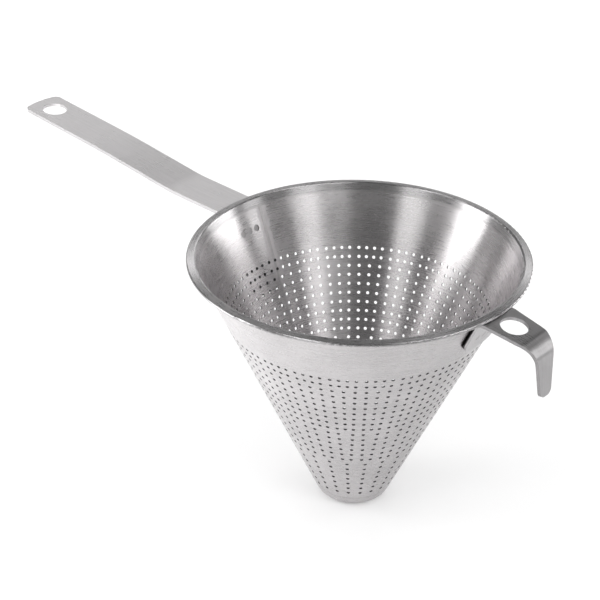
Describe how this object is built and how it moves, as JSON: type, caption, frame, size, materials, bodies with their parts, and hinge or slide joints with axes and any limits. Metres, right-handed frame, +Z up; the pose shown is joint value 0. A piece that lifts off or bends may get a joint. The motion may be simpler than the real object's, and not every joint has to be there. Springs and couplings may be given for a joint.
{
  "type": "chinois strainer",
  "caption": "Conical sheet-metal strainer with a perforated wall, a folded rim, a flat closed foot, a long strap handle and a rest hook opposite it.",
  "frame": {"origin": "centre of the flat foot's underside", "axes": "+Z up the cone's axis, +X towards the rest hook, -X towards the handle"},
  "size_m": [0.4129, 0.2, 0.1758],
  "materials": {
    "wall_sheet": "satin, brushed round the cone",
    "rim_sheet": "satin, brushed round the rim",
    "strap_sheet": "satin, brushed lengthwise",
    "weld": "ground weld, a little lighter than the sheet"
  },
  "bodies": {
    "root": {"strainer_cone": "wall_sheet", "cone_seam_weld": "weld", "rim_ring": "rim_sheet", "rim_weld": "weld", "base_cap": "wall_sheet", "base_weld": "weld", "handle": "strap_sheet", "handle_spot_welds": "weld", "rest_hook": "strap_sheet", "hook_spot_welds": "weld"}
  },
  "joints": []
}
